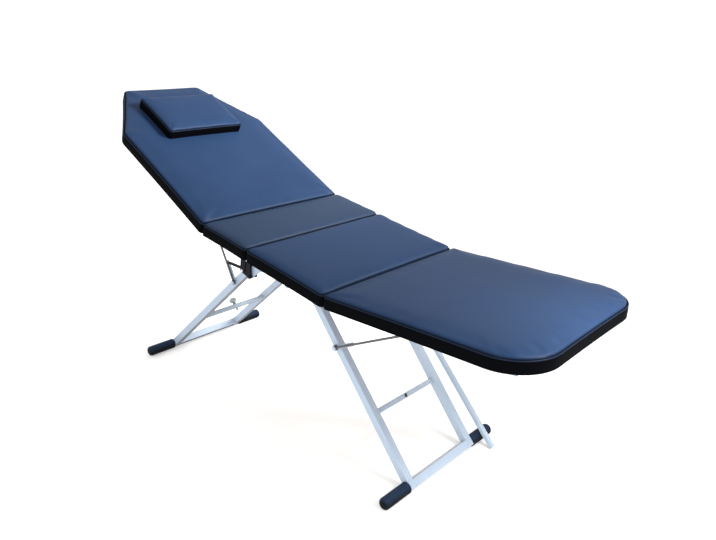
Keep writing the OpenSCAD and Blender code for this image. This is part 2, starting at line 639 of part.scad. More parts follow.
// Head leg frame with its strut and the transport knob
module head_leg_near() color(pale_steel) at_head_legs() translate([0, leg_w / 2 - leg_out, 0])
    leg(head_leg_l, head_strut_at);
module head_leg_far() color(pale_steel) at_head_legs() translate([0, leg_out - leg_w / 2, 0])
    leg(head_leg_l, head_strut_at);
module head_floor_bar() color(pale_steel) at_head_legs() floor_bar(head_leg_l);
module head_crossbar() color(pale_steel) at_head_legs() crossbar(knob_at, stem_d + 2 * run);
module head_floor_sleeves() color(rubber_black) floor_sleeves(seam[0] - head_bar_x);
module head_leg_plugs() color(black_steel) at_head_legs() leg_plugs();
module head_strut_pins() color(zinc) at_head_legs() strut_pins(head_strut_at);
module head_strut_bushes() color(zinc) at_head_strut() strut_bushes();
module head_strut() color(zinc) at_head_strut() strut(head_strut_l);
module transport_knob() color(knob_grey) at_head_legs() translate([knob_at, 0, bar_w / 2 - bar_low]) {
    neck = knob_h * 0.42;
    rotate_extrude() polygon(concat([[0, gap], [stem_d * 0.8, gap], [stem_d * 0.7, neck]],
        [for (a = [-60:15:75]) [knob_d / 2 * pow(cos(a), 0.4), neck + knob_h * (1 + sin(a)) / 2]],
        [[0, neck + knob_h]]));
    translate([0, 0, -bar_w - stem_d]) cylinder(h = bar_w + stem_d + 2 * gap, d = stem_d);
}

// Foot leg frame with its strut, and the prop beside it
module foot_leg_near() color(pale_steel) at_foot_legs() translate([0, leg_w / 2 - leg_out, 0])
    leg(foot_leg_l, foot_strut_at);
module foot_leg_far() color(pale_steel) at_foot_legs() translate([0, leg_out - leg_w / 2, 0])
    leg(foot_leg_l, foot_strut_at);
module foot_floor_bar() color(pale_steel) at_foot_legs() floor_bar(foot_leg_l);
module foot_crossbar() color(pale_steel) at_foot_legs() crossbar(hole_at, lock_hole_d);
module foot_floor_sleeves() color(rubber_black) floor_sleeves(seam[0] + foot_bar_x);
module foot_leg_plugs() color(black_steel) at_foot_legs() leg_plugs();
module foot_strut_pins() color(zinc) at_foot_legs() strut_pins(foot_strut_at);
module foot_strut_bushes() color(zinc) at_foot_strut() strut_bushes();
module foot_strut() color(zinc) at_foot_strut() strut(foot_strut_l);
module prop_tube() color(pale_steel) translate([foot_axle[0], prop_y, foot_axle[1]])
    rotate([0, prop_slope, 0]) difference() {
        tube_along(-axle_d, prop_l, prop_w, leg_wall);
        round_across(-prop_w, prop_w, axle_d + 2 * run);
    }

rear_seat_cushion();
rear_seat_board();
rear_side_rails();
rear_cross_rails();
head_leg_hangers();
head_leg_axle();
head_axle_spacers();
fold_brackets();
bracket_screws();
fold_pins();
lever_pin();
backrest_hinge_seat_leaves();
backrest_hinge_pins();
front_seat_cushion();
front_seat_board();
front_side_rails();
front_cross_rails();
foot_leg_hangers();
foot_leg_axle();
foot_axle_spacers();
fold_gussets();
foot_hinge_seat_leaves();
foot_hinge_pins();
backrest_cushion();
backrest_board();
backrest_side_rails();
backrest_cross_rails();
backrest_hinge_leaves();
backrest_racks();
pillow();
foot_cushion();
foot_board();
foot_side_rails();
foot_cross_rails();
foot_hinge_leaves();
foot_racks();
head_leg_near();
head_leg_far();
head_floor_bar();
head_crossbar();
head_floor_sleeves();
head_leg_plugs();
head_strut_pins();
head_strut_bushes();
head_strut();
foot_leg_near();
foot_leg_far();
foot_floor_bar();
foot_crossbar();
foot_floor_sleeves();
foot_leg_plugs();
foot_strut_pins();
foot_strut_bushes();
foot_strut();
prop_tube();
transport_knob();
fold_lever();
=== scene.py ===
import json

import bpy
import numpy as np
from mathutils import Matrix, Vector


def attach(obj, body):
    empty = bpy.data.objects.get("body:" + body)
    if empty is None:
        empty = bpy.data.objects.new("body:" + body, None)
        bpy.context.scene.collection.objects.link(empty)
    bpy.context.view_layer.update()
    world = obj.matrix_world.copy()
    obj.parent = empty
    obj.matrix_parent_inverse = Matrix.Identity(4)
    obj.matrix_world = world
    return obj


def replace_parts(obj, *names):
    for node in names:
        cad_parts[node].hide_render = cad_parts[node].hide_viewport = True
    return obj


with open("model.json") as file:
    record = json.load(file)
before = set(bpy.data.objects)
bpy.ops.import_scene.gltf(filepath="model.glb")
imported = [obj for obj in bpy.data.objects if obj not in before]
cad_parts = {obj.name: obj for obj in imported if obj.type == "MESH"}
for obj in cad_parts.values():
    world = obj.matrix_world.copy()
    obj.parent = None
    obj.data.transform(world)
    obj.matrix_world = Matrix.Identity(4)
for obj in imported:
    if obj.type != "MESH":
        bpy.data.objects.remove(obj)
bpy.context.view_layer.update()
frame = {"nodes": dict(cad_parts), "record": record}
scene = bpy.context.scene

# The viewpoint: a hand-held camera beyond the foot end's near corner, a little above the seat and
# tipped slightly, as the photograph was taken.
VIEW_AZIMUTH, VIEW_ELEVATION, VIEW_ROLL = np.radians([41.08, 21.39, 3.56])
VIEW_POINT = (1.4176, -1.4529, 1.2813)
VIEW_LENS, SENSOR_W = 33.96, 36.0

back_way = np.array([np.sin(VIEW_AZIMUTH) * np.cos(VIEW_ELEVATION),
                     -np.cos(VIEW_AZIMUTH) * np.cos(VIEW_ELEVATION), np.sin(VIEW_ELEVATION)])
level_way = np.array([np.cos(VIEW_AZIMUTH), np.sin(VIEW_AZIMUTH), 0.0])
upright_way = np.cross(back_way, level_way)
right_way = np.cos(VIEW_ROLL) * level_way + np.sin(VIEW_ROLL) * upright_way
top_way = np.cos(VIEW_ROLL) * upright_way - np.sin(VIEW_ROLL) * level_way
camera = bpy.data.objects.new("camera", bpy.data.cameras.new("camera"))
camera.data.lens = VIEW_LENS
camera.data.sensor_width = SENSOR_W
camera.matrix_world = Matrix.Translation(VIEW_POINT) @ Matrix(
    np.column_stack([right_way, top_way, back_way]).tolist()).to_4x4()
scene.collection.objects.link(camera)
scene.camera = camera

# The studio: a white floor, lit from within as a light table is, under a wide white sky. Two
# gridded softboxes hang over the foot end, one over the seat's far side leans at the raised
# backrest, and a weak one fills the near side.
WHITE = (1.0, 1.0, 1.0, 1.0)
SKY_GLOW, FLOOR_GLOW, FLOOR_TONE, FLOOR_HALF = 1.08, 0.2, 0.90, 14.0
SOFTBOXES = {  # its stand, the point it looks at, its width, its grid's angle and its power
    "foot_softbox": ((1.40, 0.05, 1.25), (1.04, 0.0, 0.55), 0.5, 80.0, 4.8),
    "toe_softbox": ((1.15, 0.10, 1.35), (0.95, 0.05, 0.55), 0.4, 75.0, 2.4),
    "back_softbox": ((1.00, 1.10, 1.85), (-0.78, 0.1, 0.95), 0.8, 75.0, 28.0),
    "near_softbox": ((1.20, -2.60, 0.90), (0.30, 0.0, 0.30), 1.4, 180.0, 25.0),
}

scene.view_settings.view_transform = "Standard"
world = bpy.data.worlds.new("studio")
world.use_nodes = True
world.node_tree.nodes["Background"].inputs["Color"].default_value = WHITE
world.node_tree.nodes["Background"].inputs["Strength"].default_value = SKY_GLOW
scene.world = world
for box_name, (stand, aim, width, grid, power) in SOFTBOXES.items():
    lamp = bpy.data.lights.new(box_name, "AREA")
    lamp.shape, lamp.size, lamp.energy, lamp.spread = "DISK", width, power, np.radians(grid)
    light = bpy.data.objects.new(box_name, lamp)
    light.location = stand
    light.rotation_euler = (Vector(aim) - Vector(stand)).to_track_quat("-Z", "Y").to_euler()
    scene.collection.objects.link(light)


def plain_finish(name, colour, roughness):
    """A material with its Principled shader, which comes back beside it."""
    material = bpy.data.materials.new(name)
    material.use_nodes = True
    shader = material.node_tree.nodes["Principled BSDF"]
    shader.inputs["Base Color"].default_value = (*colour, 1.0)
    shader.inputs["Roughness"].default_value = roughness
    return material, shader


floor_mesh = bpy.data.meshes.new("floor")
floor_mesh.from_pydata([(x * FLOOR_HALF, y * FLOOR_HALF, 0.0) for x, y in
                        ((-1, -1), (1, -1), (1, 1), (-1, 1))], [], [(0, 1, 2, 3)])
floor_paper, floor_shader = plain_finish("floor_paper", [FLOOR_TONE] * 3, 0.95)
floor_shader.inputs["Emission Color"].default_value = WHITE
floor_shader.inputs["Emission Strength"].default_value = FLOOR_GLOW
floor_mesh.materials.append(floor_paper)
floor = bpy.data.objects.new("floor", floor_mesh)
scene.collection.objects.link(floor)

# Foam covers of the four panels: sheet foam on a board, under navy polyurethane cloth that is drawn
# down over the edge and sewn to the side band. A cloth simulation blows it up against its seam.
SEAT_SLOPE, BACK_SLOPE, FOOT_SLOPE = np.radians([6.8, 25.5, -3.7])
PANEL_W, PANEL_T, BOARD_T = 0.590, 0.045, 0.012
FOAM_T = PANEL_T - BOARD_T
REAR_L, FRONT_L, BACK_L, FOOT_L = 0.206, 0.317, 0.726, 0.612  # between seam, hinges and ends
TAPER_L, HEAD_W = 0.250, 0.308  # the backrest's head end
CORNER_R, FOOT_R, HEAD_R, LEAST_R = 0.014, 0.120, 0.030, 0.002
HINGE_DROP, FOLD_DROP, HALF_GAP = 0.055, 0.103, 0.0003  # pins below the face, and pads' gaps
# The cover's crown stands PROUD of the face. It climbs by CROWN from the edge's roll, over
# CROWN_IN. The sides bow in by SIDE_DRAW, and reach TUCK below the foam.
PROUD, CROWN, CROWN_IN, SIDE_DRAW = 0.0015, 0.0030, 0.08, 0.0015
TOP_ROLL, ROLL_OUT, COVER_IN, TUCK = 0.0080, 0.0012, 0.0018, 0.001
# The seam lies in a groove; from SHADE_TOP over it downwards the cloth carries painted shade.
SEAM_Z, GROOVE_DEEP, GROOVE_REACH = -0.0125, 0.0016, 0.0034
SHADE_TOP, SHADE_FADE = 0.0068, 0.0054
# The simulation moves the cover by SWELL at most, and holds it from HELD_TOP over the seam down.
VOXEL, SWELL, SWELL_STEPS, HELD_TOP, HELD_FADE = 0.0076, 0.0030, 20, 0.004, 0.010
HOLD_GRADES = 10

joint_at = {joint["name"]: np.array(joint["pos_m"])
            for joint in frame["record"]["behaviour"]["joints"] if joint.get("pos_m")}


class Place:
    """A level-sided frame: x along a panel towards the foot end, y across, z off its face."""

    def __init__(self, origin, slope):
        self.origin = np.array(origin)
        self.along = np.array([np.cos(slope), 0.0, -np.sin(slope)])
        self.across = np.array([0.0, 1.0, 0.0])
        self.off = np.array([np.sin(slope), 0.0, np.cos(slope)])

    def world(self, points):
        """Points of the frame in the world: the origin and each length along its own way."""
        points = np.asarray(points)
        return (self.origin + points[..., :1] * self.along + points[..., 1:2] * self.across
                + points[..., 2:] * self.off)

    def local(self, points):
        """The world's points in the frame: each one's lengths along the frame's ways."""
        way = np.asarray(points) - self.origin
        return np.stack([way @ self.along, way[..., 1], way @ self.off], -1)


def place_over(joint, drop, slope):
    """The frame whose origin lies straight off a joint, drop above it."""
    off = np.array([np.sin(slope), 0.0, np.cos(slope)])
    return Place(joint_at[joint] * [1, 0, 1] + drop * off, slope)


def outline(corners, radii, inset, draw, arc=10, run=14):
    """Rounded corners joined by sides that bow inwards: each corner is an arc about its own centre,
    and each side is a straight line less a parabola."""
    q = np.asarray(corners, float)
    way = np.roll(q, -1, 0) - q
    length = np.linalg.norm(way, axis=1, keepdims=True)
    out = np.stack([way[:, 1], -way[:, 0]], 1) / length
    before = np.roll(out, 1, 0)
    radius = np.maximum(np.asarray(radii) - inset, LEAST_R)[:, None]
    dot = (before * out).sum(1, keepdims=True)
    centre = q - (before + out) * (inset + radius) / (1 + dot)
    sweep = np.arccos(dot) * np.linspace(0, 1, arc)
    angle = np.arctan2(before[:, 1:], before[:, :1]) + sweep
    arcs = centre[:, None] + radius[..., None] * np.stack([np.cos(angle), np.sin(angle)], -1)
    t = np.linspace(0, 1, run + 2)[1:-1]
    a, b = arcs[:, -1:], np.roll(arcs[:, :1], -1, 0)
    sides = a + (b - a) * t[:, None] - out[:, None] * (draw * 4 * t * (1 - t))[:, None]
    return np.concatenate([arcs, sides], 1).reshape(-1, 2)


def skins(name, stacks, looped=False):
    """A mesh of one surface for each stack of rings, each ring counterclockwise about the way that
    the stack grows. A stack's ends are closed by fans, or its last ring is joined to its first."""
    points, faces, start = [], [], 0
    for rings in stacks:
        m, n = rings.shape[:2]
        a = np.arange(m if looped else m - 1)[:, None] * n + np.arange(n)
        b, up = np.roll(a, -1, 1), (a + n) % (m * n)
        faces += (np.stack([a, b, np.roll(up, -1, 1), up], -1).reshape(-1, 4) + start).tolist()
        points.append(rings.reshape(-1, 3))
        if not looped:
            first, last = np.arange(n) + start, np.arange(n) + start + (m - 1) * n
            points.append(np.stack([rings[0].mean(0), rings[-1].mean(0)]))
            faces += np.stack([np.full(n, start + m * n), np.roll(first, -1), first], 1).tolist()
            faces += np.stack([np.full(n, start + m * n + 1), last, np.roll(last, -1)], 1).tolist()
        start += m * n + (0 if looped else 2)
    mesh = bpy.data.meshes.new(name)
    mesh.from_pydata(np.concatenate(points).tolist(), [], faces)
    return mesh


def finish_mesh(mesh, material, smooth=True):
    """The mesh with one material, and smooth or flat all over."""
    mesh.materials.clear()
    mesh.materials.append(material)
    mesh.polygons.foreach_set("use_smooth", np.full(len(mesh.polygons), smooth))


def piece(name, mesh, body, material, smooth=True):
    """An object for a finished mesh, at the origin, on its body and with its material."""
    made = bpy.data.objects.new(name, mesh)
    scene.collection.objects.link(made)
    finish_mesh(mesh, material, smooth)
    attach(made, body)
    return made


def spots(mesh, what="co"):
    """The places or the normals of the mesh's points as one array."""
    flat = np.zeros(len(mesh.vertices) * 3, np.float32)
    mesh.vertices.foreach_get(what, flat)
    return flat.reshape(-1, 3).astype(float)


def put_spots(mesh, points):
    """The mesh's points put where the array says."""
    mesh.vertices.foreach_set("co", points.astype(np.float32).ravel())
    mesh.update()


def worked(obj):
    """The object's mesh with its modifiers applied, as a new mesh."""
    graph = bpy.context.evaluated_depsgraph_get()
    graph.update()
    return bpy.data.meshes.new_from_object(obj.evaluated_get(graph))


def settle(obj):
    """The object's modifiers, applied to its mesh and cleared."""
    obj.data = worked(obj)
    obj.modifiers.clear()


def swell(obj, held, reach):
    """The cover blown up against its seams by a cloth simulation. What it moves is eased to at most
    reach by a hyperbolic tangent, and the vertices in held stay where they are."""
    start = spots(obj.data)
    group = obj.vertex_groups.new(name="held")
    half_grade = 0.5 / HOLD_GRADES
    for weight in np.linspace(1 / HOLD_GRADES, 1.0, HOLD_GRADES):
        chosen = np.flatnonzero((held > weight - half_grade) & (held <= weight + half_grade))
        group.add(chosen.tolist(), float(weight), "REPLACE")
    cloth = obj.modifiers.new("cover", "CLOTH")
    cloth.settings.use_pressure = True
    cloth.settings.uniform_pressure_force = 4.0
    cloth.settings.vertex_group_mass = "held"
    cloth.settings.effector_weights.gravity = 0.0
    cloth.settings.tension_stiffness = 20.0
    cloth.settings.compression_stiffness = 20.0
    cloth.settings.bending_stiffness = 6.0
    cloth.settings.shrink_min = -0.0025
    cloth.point_cache.frame_start, cloth.point_cache.frame_end = 1, SWELL_STEPS
    for step in range(1, SWELL_STEPS + 1):
        scene.frame_set(step)
    moved = spots(worked(obj)) - start
    obj.modifiers.remove(cloth)
    obj.vertex_groups.remove(group)
    scene.frame_set(1)
    far = np.linalg.norm(moved, axis=1, keepdims=True)
    put_spots(obj.data, start + moved * reach * np.tanh(far / reach) / np.maximum(far, 1e-9))


def node_group(name, inputs, outputs):
    """A shader node group with its sockets, and its input and output nodes."""
    group = bpy.data.node_groups.new(name, "ShaderNodeTree")
    for label, value in inputs.items():
        socket = group.interface.new_socket(label, in_out="INPUT", socket_type="NodeSocketFloat")
        socket.default_value = value
    for label in outputs:
        group.interface.new_socket(label, in_out="OUTPUT", socket_type="NodeSocketFloat")
    return group, group.nodes.new("NodeGroupInput"), group.nodes.new("NodeGroupOutput")


PEBBLE_SHARE = 0.06


def pressed_grain():
    """Pressed leather grain: a small share of a Voronoi pattern's pebbles on the slow ripple of a
    noise, which is the tone too."""
    group, given, result = node_group("pressed_grain", {"Pebbles": 950.0, "Ripple": 0.3},
                                      ["Height", "Tone"])
    nodes, links = group.nodes, group.links
    where = nodes.new("ShaderNodeTexCoord")
    pebbles = nodes.new("ShaderNodeTexVoronoi")
    pebbles.feature = "SMOOTH_F1"
    links.new(where.outputs["Object"], pebbles.inputs["Vector"])
    links.new(given.outputs["Pebbles"], pebbles.inputs["Scale"])
    ripple = nodes.new("ShaderNodeTexNoise")
    ripple.inputs["Scale"].default_value = 9.0
    ripple.inputs["Detail"].default_value = 3.0
    links.new(where.outputs["Object"], ripple.inputs["Vector"])
    sway = nodes.new("ShaderNodeMath")
    sway.operation = "MULTIPLY"
    links.new(ripple.outputs["Fac"], sway.inputs[0])
    links.new(given.outputs["Ripple"], sway.inputs[1])
    height = nodes.new("ShaderNodeMath")
    height.operation = "MULTIPLY_ADD"
    height.inputs[1].default_value = PEBBLE_SHARE
    links.new(pebbles.outputs["Distance"], height.inputs[0])
    links.new(sway.outputs[0], height.inputs[2])
    links.new(height.outputs[0], result.inputs["Height"])
    links.new(ripple.outputs["Fac"], result.inputs["Tone"])
    return group


def mixed(material, mask, first, second):
    """A mix of two colours by a mask. The first is a socket or a plain colour."""
    nodes, links = material.node_tree.nodes, material.node_tree.links
    mix = nodes.new("ShaderNodeMix")
    mix.data_type = "RGBA"
    links.new(mask, mix.inputs["Factor"])
    if isinstance(first, bpy.types.NodeSocket):
        links.new(first, mix.inputs["A"])
    else:
        mix.inputs["A"].default_value = (*first, 1.0)
    mix.inputs["B"].default_value = (*second, 1.0)
    return mix.outputs["Result"]


def carried(material, mask, given, wanted):
    """A mask carried from the range given to the range wanted, along a straight line."""
    carry = material.node_tree.nodes.new("ShaderNodeMapRange")
    for label, value in zip(("From Min", "From Max", "To Min", "To Max"), (*given, *wanted)):
        carry.inputs[label].default_value = value
    material.node_tree.links.new(mask, carry.inputs["Value"])
    return carry.outputs["Result"]


def bumped(material, height, strength, distance):
    """The normal that a height's relief gives."""
    bump = material.node_tree.nodes.new("ShaderNodeBump")
    bump.inputs["Strength"].default_value = strength
    bump.inputs["Distance"].default_value = distance
    material.node_tree.links.new(height, bump.inputs["Height"])
    return bump.outputs["Normal"]


grain = pressed_grain()
# The seam's share of the colour is painted shade over the roll's lower edge.
PATCH_DARK, PATCH_LIGHT, PAINTED_SEAM_SHADE, GLOSS_SPREAD, GRAIN_DEEP = 0.86, 1.14, 0.16, 0.07, 0.004


def vinyl(name, colour, matt, specular, relief):
    """Polyurethane cloth: one colour, a little lighter and darker in slow patches, and darkened by
    the mesh's own seam value over the fold of a seam, which is painted shade. It has its roughness
    and its pressed grain."""
    material, shader = plain_finish(name, colour, matt)
    nodes, links = material.node_tree.nodes, material.node_tree.links
    press = nodes.new("ShaderNodeGroup")
    press.node_tree = grain
    seam = nodes.new("ShaderNodeAttribute")
    seam.attribute_name = "seam"
    dark, light, fold = ([c * share for c in colour]
                         for share in (PATCH_DARK, PATCH_LIGHT, PAINTED_SEAM_SHADE))
    patches = mixed(material, press.outputs["Tone"], dark, light)
    # The seam value mixes the colour towards its painted shade.
    links.new(mixed(material, seam.outputs["Fac"], patches, fold), shader.inputs["Base Color"])
    gloss = carried(material, press.outputs["Tone"], (0.0, 1.0),
                    (matt - GLOSS_SPREAD, matt + GLOSS_SPREAD))
    links.new(gloss, shader.inputs["Roughness"])
    grained = bumped(material, press.outputs["Height"], relief, GRAIN_DEEP)
    links.new(grained, shader.inputs["Normal"])
    shader.inputs["Specular IOR Level"].default_value = specular
    return material


navy_vinyl = vinyl("navy_vinyl", (0.0116, 0.0270, 0.0655), 0.46, 0.06, 0.35)
# The rear seat's cloth is a greyer, duller copy of the navy cloth: painted shade on that one panel.
rear_shaded_vinyl = vinyl("rear_shaded_vinyl", (0.0150, 0.0280, 0.0560), 0.46, 0.06, 0.35)


class Panel:
    """A padded panel: its place, its outline and the lean of one end, so that neighbouring panels
    meet on the plane that halves their angle."""

    def __init__(self, name, node, body, place, corners, radii, lean, ends, cloth):
        self.name, self.node, self.body, self.place, self.cloth = name, node, body, place, cloth
        self.corners, self.radii, self.lean, self.ends = corners, radii, lean, ends
        self.high, self.seam, self.low = PROUD, SEAM_Z, -FOAM_T - TUCK

    def leant(self, flat, z):
        """A flat outline at the height z. The leaning end moves along by the lean times the height
        over the board, and the move falls in a straight line to nothing at the other end."""
        near_end, far_end = self.ends
        from_far = flat[..., :1] - far_end
        x = flat[..., :1] + self.lean * (z + FOAM_T) * from_far / (near_end - far_end)
        return np.concatenate([x, flat[..., 1:], np.broadcast_to(z, x.shape)], -1)

    def rings(self, heights, insets, arc=10, run=14):
        """The rounded outline at each height, drawn in by each inset."""
        return self.place.world(np.stack([
            self.leant(outline(self.corners, self.radii, i, SIDE_DRAW, arc, run), z)
            for z, i in zip(heights, insets)]))


def cover(panel, voxel=VOXEL):
    """A cover: rings that rise up the side, roll over the edge by a quarter circle and climb to the
    crown by a quarter sine, evened to small faces, blown up, and drawn in at the seam by a bell
    curve of the height."""
    edge = panel.high - CROWN
    turn = np.radians(np.arange(0, 91, 15))
    climb = np.linspace(0, 1, 10)[1:]
    side = np.linspace(panel.low, edge - TOP_ROLL, 5)[:-1]
    heights = np.concatenate([side, edge - TOP_ROLL * (1 - np.sin(turn)),
                              edge + CROWN * np.sin(climb * np.pi / 2)])
    insets = np.concatenate([np.full(len(side), COVER_IN),
                             COVER_IN * np.cos(turn) + TOP_ROLL * (1 - np.cos(turn)) - ROLL_OUT,
                             TOP_ROLL - ROLL_OUT + CROWN_IN * climb])
    made = piece(panel.name, skins(panel.name, [panel.rings(heights, insets)]), panel.body,
                 panel.cloth)
    even = made.modifiers.new("even", "REMESH")
    even.mode, even.voxel_size, even.use_smooth_shade = "VOXEL", voxel, True
    settle(made)
    height = panel.place.local(spots(made.data))[:, 2]
    swell(made, np.clip((panel.seam + HELD_TOP - height) / HELD_FADE, 0, 1), SWELL)
    ease = made.modifiers.new("ease", "SMOOTH")
    ease.factor, ease.iterations = 0.5, 3
    finer = made.modifiers.new("finer", "SUBSURF")
    finer.levels = finer.render_levels = 1
    settle(made)
    points, turned_to = panel.place.local(spots(made.data)), spots(made.data, "normal")
    turned_to = turned_to @ np.stack([panel.place.along, panel.place.across, panel.place.off], 1)
    sideways = np.linalg.norm(turned_to[:, :2], axis=1)
    groove = GROOVE_DEEP * np.exp(-((points[:, 2] - panel.seam) / GROOVE_REACH) ** 2) * sideways
    points[:, :2] -= turned_to[:, :2] * groove[:, None]
    put_spots(made.data, panel.place.world(points))
    # The seam value marks the cloth from SHADE_TOP over the seam down, for painted shade there.
    fold = np.clip((panel.seam + SHADE_TOP - points[:, 2]) / SHADE_FADE, 0, 1)
    seam = made.data.attributes.new("seam", "FLOAT", "POINT")
    seam.data.foreach_set("value", fold.astype(np.float32))
    finish_mesh(made.data, panel.cloth)
    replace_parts(made, panel.node)


def oblong(x0, x1, width):
    """The corners of a rectangle from x0 to x1, half its width to each side."""
    return [(x0, -width / 2), (x1, -width / 2), (x1, width / 2), (x0, width / 2)]


seat = place_over("centre_fold", FOLD_DROP, SEAT_SLOPE)
back = place_over("backrest_tilt", HINGE_DROP, BACK_SLOPE)
foot = place_over("foot_tilt", HINGE_DROP, FOOT_SLOPE)
back_lean = np.tan((BACK_SLOPE - SEAT_SLOPE) / 2)
foot_lean = np.tan((SEAT_SLOPE - FOOT_SLOPE) / 2)
rear_x = -REAR_L - FOAM_T * back_lean + HALF_GAP
front_x = FRONT_L + FOAM_T * foot_lean - HALF_GAP
back_x = -(HINGE_DROP - FOAM_T) * back_lean - HALF_GAP
foot_x = (HINGE_DROP - FOAM_T) * foot_lean + HALF_GAP
head_x = -HINGE_DROP * back_lean - BACK_L
toe_x = HINGE_DROP * foot_lean + FOOT_L
back_corners = [
    (back_x, -PANEL_W / 2), (back_x, PANEL_W / 2), (head_x + TAPER_L, PANEL_W / 2),
    (head_x, HEAD_W / 2), (head_x, -HEAD_W / 2), (head_x + TAPER_L, -PANEL_W / 2)]
back_radii = [CORNER_R, CORNER_R, 2 * HEAD_R, HEAD_R, HEAD_R, 2 * HEAD_R]
panels = [
    Panel("rear_seat_pad", "rear_seat_cushion", "rear_seat", seat,
          oblong(rear_x, -HALF_GAP, PANEL_W), [CORNER_R] * 4,
          back_lean, (rear_x, -HALF_GAP), rear_shaded_vinyl),
    Panel("front_seat_pad", "front_seat_cushion", "front_seat", seat,
          oblong(HALF_GAP, front_x, PANEL_W), [CORNER_R] * 4,
          -foot_lean, (front_x, HALF_GAP), navy_vinyl),
    Panel("backrest_pad", "backrest_cushion", "backrest", back, back_corners, back_radii,
          -back_lean, (back_x, head_x), navy_vinyl),
    Panel("foot_pad", "foot_cushion", "foot_section", foot,
          oblong(foot_x, toe_x, PANEL_W), [CORNER_R, FOOT_R, FOOT_R, CORNER_R],
          foot_lean, (foot_x, toe_x), navy_vinyl),
]
for panel in panels:
    cover(panel)

# Side bands: black cloth, sewn to the cover all round, pulled down over the board's edge and turned
# under it. A navy piping is caught in the seam.
BAND_UNDER, CLOTH_T, FOLD_R = 0.030, 0.0012, 0.0045
# The band laps over the seam, tucked in, and its wall starts a step below and bellies out.
BAND_LAP, BAND_TUCK, BAND_STEP, BAND_BELLY = 0.0006, 0.0021, 0.0008, 0.0009
PIPING_R, PIPING_IN = 0.0015, 0.0014
black_vinyl = vinyl("black_vinyl", (0.0009, 0.0011, 0.0018), 0.66, 0.02, 0.25)
piping_vinyl = vinyl("piping_vinyl", (0.0045, 0.0100, 0.0240), 0.42, 0.08, 0.15)


def side_band(panel, bottom, under):
    """A band: a closed loop of heights and insets. It goes down the side, with a belly that is the
    cube of one less a sine, round the board's edge by a quarter circle, in under the board and
    back inside by the cloth's thickness."""
    fall = np.linspace(0, 1, 8)
    drop = panel.seam - bottom - FOLD_R
    turn = np.radians(np.arange(15, 91, 15))
    outer_z = np.concatenate([
        [panel.seam + BAND_LAP], panel.seam - BAND_STEP - (drop - BAND_STEP) * fall,
        bottom + FOLD_R * (1 - np.sin(turn)), [bottom, bottom, bottom + 0.0002]])
    outer_i = np.concatenate([
        [BAND_TUCK], BAND_BELLY * (1 - np.sin(np.pi * np.minimum(fall * 1.1, 1))) ** 3,
        FOLD_R * (1 - np.cos(turn)), [under * 0.5, under - 0.001, under]])
    inner_z = [bottom + CLOTH_T, bottom + CLOTH_T, bottom + FOLD_R, panel.seam - 0.001]
    inner_i = [under - 0.0006, FOLD_R, CLOTH_T + 0.0003, CLOTH_T + 0.0006]
    rings = panel.rings(np.concatenate([outer_z, inner_z])[::-1],
                        np.concatenate([outer_i, inner_i])[::-1], 14, 30)
    name = panel.name + "_band"
    piece(name, skins(name, [rings], looped=True), panel.body, black_vinyl)


def tube_rings(path, radius, side, up):
    """A circle at each point of a path, in the plane of side and up."""
    angle = np.linspace(0, 2 * np.pi, 8, endpoint=False)
    return (path[:, None] + radius * (np.cos(angle)[:, None] * side[:, None]
                                      + np.sin(angle)[:, None] * up[:, None]))


def way_round(path):
    """The way on at each point of a closed path: from the point before it to the one after."""
    way = np.roll(path, -1, 0) - np.roll(path, 1, 0)
    return way / np.linalg.norm(way, axis=1, keepdims=True)


def piping(panel):
    """A piping: a circle carried round the seam's outline, square to the way on."""
    path = panel.rings([panel.seam], [PIPING_IN], 20, 50)[0]
    way = way_round(path)
    side = np.cross(way, panel.place.off)
    rings = tube_rings(path, PIPING_R, side, np.cross(way, side))
    name = panel.name + "_piping"
    piece(name, skins(name, [rings], looped=True), panel.body, piping_vinyl)


for panel in panels:
    side_band(panel, -PANEL_T - CLOTH_T, BAND_UNDER)
    piping(panel)

# The head pillow: a loose block of soft foam in the same navy cloth with a black side, sewn all
# round. It lies on the backrest and lifts off.
PILLOW_W, PILLOW_L, PILLOW_T, PILLOW_UP, PILLOW_SHIFT = 0.305, 0.203, 0.045, 0.404, 0.015
PILLOW_CORNER_R, PILLOW_LOW, PILLOW_BASE, PILLOW_VOXEL = CORNER_R * 0.7, 0.0022, 0.0008, 0.0055
pillow_end = -HINGE_DROP * back_lean - PILLOW_UP
pillow_corners = (np.array(oblong(pillow_end - PILLOW_L, pillow_end, PILLOW_W))
                  - [0.0, PILLOW_SHIFT])
pillow = Panel("head_pillow", "pillow", "head_pillow", back, pillow_corners,
               [PILLOW_CORNER_R] * 4, 0.0, (pillow_end, pillow_end - PILLOW_L), navy_vinyl)
pillow.high, pillow.seam, pillow.low = PILLOW_T, PILLOW_T + SEAM_Z, PILLOW_LOW
cover(pillow, voxel=PILLOW_VOXEL)
side_band(pillow, PILLOW_BASE, PILLOW_L * 0.4)
piping(pillow)

# Plywood boards: nine-ply birch under the foam, cut to the panels' outlines and left bare beneath,
# where the side bands are stapled to them.
mottle, given, result = node_group("mottle", {"Stain": 22.0, "Peel": 1400.0, "Length": 1.0},
                                   ["Stain", "Peel"])
where = mottle.nodes.new("ShaderNodeTexCoord")
stretch = mottle.nodes.new("ShaderNodeMapping")
ratio = mottle.nodes.new("ShaderNodeCombineXYZ")
ratio.inputs["Y"].default_value = ratio.inputs["Z"].default_value = 1.0
mottle.links.new(given.outputs["Length"], ratio.inputs["X"])
mottle.links.new(ratio.outputs["Vector"], stretch.inputs["Scale"])
mottle.links.new(where.outputs["Object"], stretch.inputs["Vector"])
for label, detail in (("Stain", 5.0), ("Peel", 1.0)):
    noise = mottle.nodes.new("ShaderNodeTexNoise")
    noise.inputs["Detail"].default_value = detail
    mottle.links.new(stretch.outputs["Vector"], noise.inputs["Vector"])
    mottle.links.new(given.outputs[label], noise.inputs["Scale"])
    mottle.links.new(noise.outputs["Fac"], result.inputs[label])


